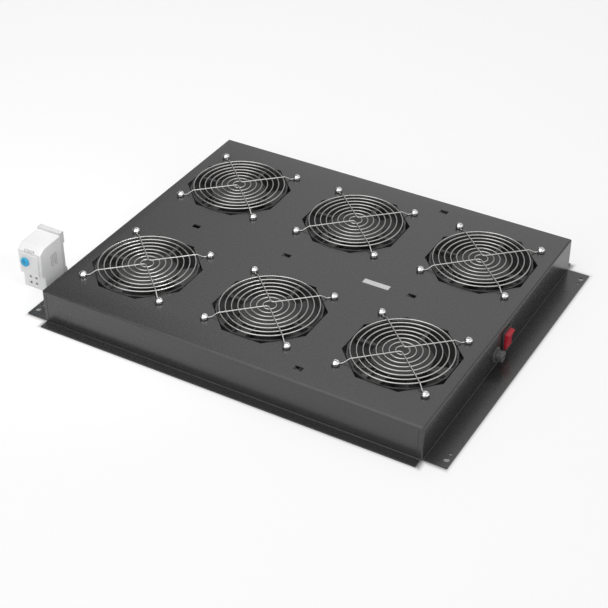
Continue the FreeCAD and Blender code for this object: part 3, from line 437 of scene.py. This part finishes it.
def rocker_plastic():
    """Clear red plastic, deeper and clearer in random patches and bands, with a painted glow in
    place of light scattered inside it.
    """
    rocker = Finish("rocker_plastic_red", **{
        "Specular IOR Level": 0.4, "Emission Strength": 1.0})
    deep, clear = colour(0.34, 0.012, 0.022), colour(0.52, 0.024, 0.040)
    # Painted glow: a faint red emission stands in for light scattered inside the clear plastic
    deep_painted_glow, clear_painted_glow = colour(0.01, 0.0, 0.001), colour(0.05, 0.002, 0.004)
    depth = rocker.noise(4.5 * MM, 2.0)
    ribs = rocker.add("ShaderNodeTexWave", {"wave_type": "BANDS", "bands_direction": "Y"}, {
        "Vector": rocker.place, "Scale": 1.0 / (6.0 * MM), "Distortion": 0.1, "Detail": 0.0},
        "Fac")
    shade = depth * 0.6 + ribs * 0.4
    rocker.feed(
        Base_Color=rocker.blend(shade, deep, clear),
        Emission_Color=rocker.blend(shade, deep_painted_glow, clear_painted_glow),
        Roughness=0.30 + depth * 0.10,
    )
    return rocker.material


def brass_strip():
    brass = Finish("brass_strip", **{"Metallic": 1.0})
    lines = brass.noise(0.5 * MM, 2.0, 0.6, place=brass.moved(scale=(0.1, 1.0, 1.0)))
    cloud = brass.noise(4 * MM, 2.0)
    brass.feed(
        Base_Color=brass.blend(cloud, colour(0.60, 0.42, 0.17), colour(0.76, 0.58, 0.28)),
        Roughness=0.22 + lines * 0.18,
    )
    brass.bumps(lines, 0.01 * MM, 0.4)
    return brass.material


def fuse_plastic():
    """Dark grey moulded plastic with a fine spark finish."""
    plastic = Finish("fuse_plastic_grey", **{"Specular IOR Level": 0.5})
    spark = plastic.noise(0.35 * MM, 2.0)
    cloud = plastic.noise(4 * MM, 2.0)
    plastic.feed(
        Base_Color=plastic.blend(cloud, grey(0.085), grey(0.120)),
        Roughness=0.34 + spark * 0.18,
    )
    plastic.bumps(spark, 0.02 * MM, 0.5)
    return plastic.material


def clear_glass():
    glass = Finish("fuse_glass", **{"Transmission Weight": 1.0, "IOR": 1.5})
    smear = glass.noise(3 * MM, 2.0)
    glass.feed(
        Base_Color=glass.blend(smear, colour(0.90, 0.95, 0.93), colour(0.98, 0.99, 0.98)),
        Roughness=0.02 + smear * 0.05,
    )
    return glass.material


def soft_rubber():
    rubber = Finish("grommet_rubber", **{"Specular IOR Level": 0.35})
    bloom = rubber.noise(2.5 * MM, 3.0)
    fine = rubber.noise(0.3 * MM, 2.0)
    rubber.feed(
        Base_Color=rubber.blend(bloom, grey(0.012), grey(0.030)),
        Roughness=0.62 + bloom * 0.2,
    )
    rubber.bumps(fine, 0.03 * MM, 0.5)
    return rubber.material


def case_plastic(name, low, high):
    """Pale moulded plastic with a faint spark finish."""
    plastic = Finish(name, **{"Specular IOR Level": 0.45})
    spark = plastic.noise(0.45 * MM, 2.0)
    cloud = plastic.noise(16 * MM, 2.0)
    plastic.feed(
        Base_Color=plastic.blend(cloud, low, high),
        Roughness=0.40 + spark * 0.16,
    )
    plastic.bumps(spark, 0.012 * MM, 0.4)
    return plastic.material


def dial_plastic():
    plastic = Finish("dial_plastic_blue", **{"Specular IOR Level": 0.5})
    spark = plastic.noise(0.4 * MM, 2.0)
    cloud = plastic.noise(3 * MM, 2.0)
    plastic.feed(
        Base_Color=plastic.blend(cloud, colour(0.004, 0.30, 0.56), colour(0.010, 0.38, 0.64)),
        Roughness=0.24 + spark * 0.14,
    )
    plastic.bumps(spark, 0.01 * MM, 0.4)
    return plastic.material


def print_ink():
    """Thin dark grey ink with a slightly broken edge of tone."""
    ink = Finish("print_ink_grey", **{"Specular IOR Level": 0.4})
    patch = ink.noise(0.8 * MM, 2.0)
    ink.feed(
        Base_Color=ink.blend(patch, grey(0.16), grey(0.24)),
        Roughness=0.42 + patch * 0.15,
    )
    return ink.material


def bimetal_strip():
    """Two bonded metals, coppery on one face and steel on the other."""
    strip = Finish("bimetal_strip", **{"Metallic": 1.0})
    lines = strip.noise(0.5 * MM, 2.0, 0.6, place=strip.moved(scale=(1.0, 1.0, 0.08)))
    cloud = strip.noise(6 * MM, 2.0)
    strip.feed(
        Base_Color=strip.blend(cloud, colour(0.52, 0.40, 0.27), colour(0.62, 0.56, 0.47)),
        Roughness=0.24 + lines * 0.2,
    )
    strip.bumps(lines, 0.01 * MM, 0.4)
    return strip.material


def smoothing_group():
    """Modifier nodes that join loose faces and shade their curves smoothly."""
    group = bpy.data.node_groups.new("smooth_curves", "GeometryNodeTree")
    group.interface.new_socket("Geometry", in_out="INPUT", socket_type="NodeSocketGeometry")
    group.interface.new_socket("Geometry", in_out="OUTPUT", socket_type="NodeSocketGeometry")
    source = group.nodes.new("NodeGroupInput")
    target = group.nodes.new("NodeGroupOutput")
    merge = group.nodes.new("GeometryNodeMergeByDistance")
    merge.inputs["Distance"].default_value = merge_distance
    smooth = group.nodes.new("GeometryNodeSetShadeSmooth")
    smooth.domain = "FACE"
    angle = group.nodes.new("GeometryNodeInputMeshEdgeAngle")
    compare = group.nodes.new("FunctionNodeCompare")
    compare.data_type = "FLOAT"
    compare.operation = "GREATER_THAN"
    compare.inputs[1].default_value = math.radians(crease_angle)
    crease = group.nodes.new("GeometryNodeSetShadeSmooth")
    crease.domain = "EDGE"
    crease.inputs["Shade Smooth"].default_value = False
    links = group.links
    links.new(source.outputs[0], merge.inputs["Geometry"])
    links.new(merge.outputs["Geometry"], smooth.inputs["Geometry"])
    links.new(smooth.outputs["Geometry"], crease.inputs["Geometry"])
    links.new(angle.outputs["Unsigned Angle"], compare.inputs[0])
    links.new(compare.outputs["Result"], crease.inputs["Selection"])
    links.new(crease.outputs["Geometry"], target.inputs[0])
    return group


def dress_nodes(smooth):
    """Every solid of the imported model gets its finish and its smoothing."""
    slots = {part["node"]: part["material_slot"] for part in frame["record"]["subparts"]}
    finishes = {
        "powder_black": powder_coat(),
        "cast_black": cast_paint(),
        "impeller_black": impeller_plastic(),
        "rotor_steel": drawn_steel(),
        "lamination_steel": laminations(),
        "guard_wire": nickel_wire(),
        "screw_zinc": zinc_plate(),
        "bearing_bronze": sintered_bronze(),
        "label_grey": label_film(),
        "switch_black": switch_plastic(),
        "rocker_red": rocker_plastic(),
        "terminal_brass": brass_strip(),
        "fuse_black": fuse_plastic(),
        "fuse_glass": clear_glass(),
        "fuse_metal": nickel_wire(),
        "grommet_rubber": soft_rubber(),
        "case_white": case_plastic("case_plastic_pale", grey(0.70), grey(0.76)),
        "foot_grey": case_plastic("foot_plastic_grey", grey(0.60), grey(0.66)),
        "dial_blue": dial_plastic(),
    }
    special = {"thermostat_bimetal": bimetal_strip()}
    for name, piece in frame["nodes"].items():
        piece.data.materials.clear()
        piece.data.materials.append(special.get(name) or finishes[slots[name]])
        piece.modifiers.new("smooth_curves", "NODES").node_group = smooth
    return finishes


def new_piece(name, shape, body, material):
    """Turns a bmesh into an object that moves with a body."""
    mesh = bpy.data.meshes.new(name)
    shape.normal_update()
    shape.to_mesh(mesh)
    shape.free()
    mesh.materials.append(material)
    piece = bpy.data.objects.new(name, mesh)
    bpy.context.scene.collection.objects.link(piece)
    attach(piece, body)
    return piece


def pocket_shape(centre, top):
    """Eight upright wedges, one under each corner of the cut-out of a fan."""
    half_turn = math.pi / 8
    apex = cutout_half / math.cos(half_turn)
    half_width = (apex - frame_ring_radius) / math.tan(half_turn)
    outline = [(frame_ring_radius, half_width), (frame_ring_radius, -half_width), (apex, 0.0)]
    foot = Vector((centre[0], centre[1], top - pocket_depth))
    shape = bmesh.new()
    for corner in range(8):
        turn = Matrix.Rotation(half_turn * (2 * corner + 1), 3, "Z")
        corners = [shape.verts.new(foot + turn @ Vector((x, y, 0.0))) for x, y in outline]
        face = bmesh.ops.contextual_create(shape, geom=corners)["faces"]
        raised = bmesh.ops.extrude_face_region(shape, geom=face)["geom"]
        lifted = [item for item in raised if isinstance(item, bmesh.types.BMVert)]
        bmesh.ops.translate(shape, verts=lifted, vec=(0, 0, pocket_cut_height))
    bmesh.ops.recalc_face_normals(shape, faces=shape.faces)
    return shape


def carved(node, cutter_shape):
    """A copy of a node's mesh with a shape cut out of it."""
    merged = bmesh.new()
    merged.from_mesh(frame["nodes"][node].data)
    bmesh.ops.remove_doubles(merged, verts=merged.verts, dist=merge_distance)
    objects = []
    for name, shape in (("carving_body", merged), ("carving_cutter", cutter_shape)):
        mesh = bpy.data.meshes.new(name)
        shape.to_mesh(mesh)
        shape.free()
        objects.append(bpy.data.objects.new(name, mesh))
        bpy.context.scene.collection.objects.link(objects[-1])
    body, cutter = objects
    cut = body.modifiers.new("cut", "BOOLEAN")
    cut.operation = "DIFFERENCE"
    cut.solver = "EXACT"
    cut.object = cutter
    graph = bpy.context.evaluated_depsgraph_get()
    mesh = bpy.data.meshes.new_from_object(body.evaluated_get(graph))
    for item in objects:
        bpy.data.objects.remove(item)
    result = bmesh.new()
    result.from_mesh(mesh)
    bpy.data.meshes.remove(mesh)
    return result


def pocketed_frames(finish, smooth):
    """Fan frames whose upper flange is open under the corners of the cut-outs."""
    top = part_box("fan_frame_1")[1][2]
    first = middle("fan_frame_1")
    pattern = carved("fan_frame_1", pocket_shape(first, top))
    for number in range(1, fan_count + 1):
        centre = middle("fan_frame_%d" % number)
        shape = pattern.copy()
        bmesh.ops.translate(shape, verts=shape.verts,
                            vec=(centre[0] - first[0], centre[1] - first[1], 0.0))
        piece = new_piece("pocketed_frame_%d" % number, shape, "tray", finish)
        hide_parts("fan_frame_%d" % number)
        piece.modifiers.new("smooth_curves", "NODES").node_group = smooth
    pattern.free()


def crossing(radius, apex):
    """Where a leg of a spoke crosses a ring, in the quarter with X and Y above zero."""
    rise = screw_reach - apex
    square = screw_reach ** 2 + rise ** 2
    half_linear = apex * rise
    root = math.sqrt(half_linear ** 2 - square * (apex ** 2 - radius ** 2))
    share = (root - half_linear) / square
    return screw_reach * share, apex + rise * share


def guard_welds(finish):
    """The resistance welds where the rings of a finger guard meet its spokes."""
    for number in range(1, fan_count + 1):
        centre = middle("finger_guard_%d" % number)
        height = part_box("finger_guard_%d" % number)[1][2] - weld_depth
        shape = bmesh.new()
        for index in range(ring_count):
            for apex, back in ((apex_back, 1), (apex_front, -1)):
                x, y = crossing(first_ring + index * ring_pitch, apex)
                for side in (-1, 1):
                    place = Matrix.Translation(
                        (centre[0] + side * x, centre[1] + back * y, height))
                    bmesh.ops.create_icosphere(
                        shape, subdivisions=2, radius=weld_radius, matrix=place)
        for face in shape.faces:
            face.smooth = True
        new_piece("guard_welds_%d" % number, shape, "tray", finish)


def dial_scale(finish):
    """The printed ticks beside the dial, on the face of the cover."""
    centre = middle("thermostat_dial")
    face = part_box("thermostat_cover")[0][1]
    shape = bmesh.new()
    for index in range(scale_ticks):
        angle = math.radians(scale_start + scale_sweep * index / (scale_ticks - 1))
        length = scale_tick_length * (1.0 if index % 3 == 0 else 0.6)
        reach = scale_radius + length / 2
        place = (Matrix.Translation((centre[0], face - print_height / 2, centre[2]))
                 @ Matrix.Rotation(angle, 4, "Y")
                 @ Matrix.Translation((0.0, 0.0, reach))
                 @ Matrix.Diagonal((scale_tick_width, print_height, length, 1.0)))
        bmesh.ops.create_cube(shape, size=1.0, matrix=place)
    new_piece("dial_ticks", shape, "tray", finish)


def comfort_band():
    """The tinted band beside the dial, green at its upper end and orange at its lower."""
    centre = middle("thermostat_dial")
    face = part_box("thermostat_cover")[0][1]
    shape = bmesh.new()
    start = Matrix.Rotation(math.radians(-arc_start), 3, "Y")
    corners = []
    for reach in (arc_radius, arc_radius + arc_width):
        for depth in (face - print_height, face):
            corners.append(shape.verts.new(start @ Vector((0.0, 0.0, reach))
                                           + Vector((centre[0], depth, centre[2]))))
    profile = [shape.edges.new((corners[a], corners[b]))
               for a, b in ((0, 1), (1, 3), (3, 2), (2, 0))]
    swept = bmesh.ops.spin(
        shape, geom=corners + profile, cent=(centre[0], face, centre[2]), axis=(0.0, 1.0, 0.0),
        angle=math.radians(-arc_sweep), steps=arc_steps, use_merge=False)
    last = [edge for edge in swept["geom_last"] if isinstance(edge, bmesh.types.BMEdge)]
    bmesh.ops.contextual_create(shape, geom=profile)
    bmesh.ops.contextual_create(shape, geom=last)
    bmesh.ops.recalc_face_normals(shape, faces=shape.faces)
    ink = Finish("print_ink_tinted", **{"Specular IOR Level": 0.4})
    height = ink.axes(ink.moved(centre=centre))[2]
    patch = ink.noise(0.8 * MM, 2.0)
    ink.feed(
        Base_Color=ink.ramp(ink.fit(height, -6.5 * MM, 5.5 * MM),
                            (0.0, colour(0.80, 0.42, 0.30)), (0.45, colour(0.80, 0.72, 0.45)),
                            (1.0, colour(0.50, 0.76, 0.52))),
        Roughness=0.42 + patch * 0.15,
    )
    new_piece("comfort_band", shape, "tray", ink.material)


def small_print(finish):
    """Bare dashes in place of the small print on the side of the thermostat."""
    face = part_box("thermostat_housing")[1][0]
    shape = bmesh.new()
    for row, (low, high) in zip(small_print_y, small_print_ends):
        foot = low * MM
        while foot + small_print_dash < high * MM:
            place = (Matrix.Translation((face - print_height * 0.4, row,
                                         foot + small_print_dash / 2))
                     @ Matrix.Diagonal((print_height, small_print_width, small_print_dash, 1.0)))
            bmesh.ops.create_cube(shape, size=1.0, matrix=place)
            foot += small_print_dash + small_print_gap
    new_piece("small_print", shape, "tray", finish)


def make_floor():
    """A white floor that keeps the shadows, with painted shade under the part and a painted
    contact shadow along its edges, pale in reflections.
    """
    mesh = bpy.data.meshes.new("floor")
    shape = bmesh.new()
    bmesh.ops.create_grid(shape, x_segments=1, y_segments=1, size=floor_half_size)
    bmesh.ops.translate(shape, verts=shape.verts, vec=(0, 0, -floor_drop))
    shape.to_mesh(mesh)
    shape.free()
    floor = bpy.data.objects.new("floor", mesh)
    bpy.context.scene.collection.objects.link(floor)
    white = Finish("floor_white", **{"Specular IOR Level": 0.0, "Roughness": 0.9})
    cloud = white.noise(0.5, 2.0)
    side, depth = white.axes(white.place)[:2]
    past = [side.maths("MAXIMUM", abs(side) - reach_x, abs(depth) - reach_y)
            for reach_x, reach_y in footprints]
    nearest = side.maths("MINIMUM", *past)
    # Painted shade: inside the footprints the floor turns grey and loses its lift, and the fade
    # across their edges paints a soft contact shadow
    outside = white.fit(nearest, -footprint_inside, footprint_outside)
    bare = white.blend(cloud, grey(0.97), grey(0.99))
    white.feed(Base_Color=white.blend(outside, grey(0.42), bare))
    lift = outside * floor_lift
    glow = white.add("ShaderNodeEmission", {}, {"Color": grey(1.0), "Strength": 1.0})
    seen = white.rays("Camera") * lift + white.rays("Glossy") * glossy_floor
    white.surface(white.mixed(seen, white.shader, glow))
    mesh.materials.append(white.material)


def make_world():
    """An even dome. Reflections see a white studio with darker parts at its sides."""
    world = bpy.data.worlds.new("studio")
    world.use_nodes = True
    bpy.context.scene.world = world
    board = Board(world.node_tree, "ShaderNodeOutputWorld")

    def backdrop(strength):
        return board.add("ShaderNodeBackground", {}, {"Color": grey(1.0), "Strength": strength})

    def sector(first, second, third, fourth):
        """Rises between the first two angles and falls between the last two."""
        rise = board.fit(swing, math.radians(first), math.radians(second))
        return rise * board.fit(swing, math.radians(third), math.radians(fourth), 1.0, 0.0)

    view = board.add("ShaderNodeTexCoord", {}, {}, "Generated")
    side, depth, height = board.axes(view)
    swing = side.maths("ARCTAN2", 0.0 - side, depth)
    dark = (sector(28, 47, 138, 158) * 0.95 + sector(-45, -30, -6, 10) * 0.5).clamped()
    overhead = board.fit(height, 0.74, 0.93) * 0.55
    studio = (1.0 - dark) * (1.0 - overhead)
    dim = board.mixed(board.rays("Glossy"), backdrop(world_light), backdrop(weak_dome))
    share = board.rays("Camera") + board.rays("Transmission") + board.rays("Glossy") * studio
    board.surface(board.mixed(share.clamped(), dim, backdrop(1.0)))


def add_lamp(name, place, size, watts, node, spread):
    """A square lamp that the camera doesn't see, aimed at the origin or at a node."""
    target = Vector(middle(node) if node else (0.0, 0.0, 0.0))
    light = bpy.data.lights.new(name, "AREA")
    light.shape = "SQUARE"
    light.size = size
    light.energy = watts
    light.spread = math.radians(spread)
    lamp = bpy.data.objects.new(name, light)
    lamp.location = place
    lamp.rotation_mode = "QUATERNION"
    lamp.rotation_quaternion = (target - Vector(place)).to_track_quat("-Z", "Y")
    lamp.visible_camera = False
    bpy.context.scene.collection.objects.link(lamp)


def make_camera():
    data = bpy.data.cameras.new("camera")
    data.lens = camera_lens
    data.sensor_width = sensor_width
    data.clip_start = near_clip
    data.clip_end = far_clip
    camera = bpy.data.objects.new("camera", data)
    camera.location = camera_place
    camera.rotation_euler = [math.radians(angle) for angle in camera_turn]
    bpy.context.scene.collection.objects.link(camera)
    bpy.context.scene.camera = camera


make_camera()
make_floor()
make_world()
for lamp in lamps:
    add_lamp(*lamp)
smooth = smoothing_group()
finishes = dress_nodes(smooth)
pocketed_frames(finishes["cast_black"], smooth)
guard_welds(finishes["guard_wire"])
ink = print_ink()
dial_scale(ink)
small_print(ink)
comfort_band()
bpy.context.scene.view_settings.view_transform = "Standard"
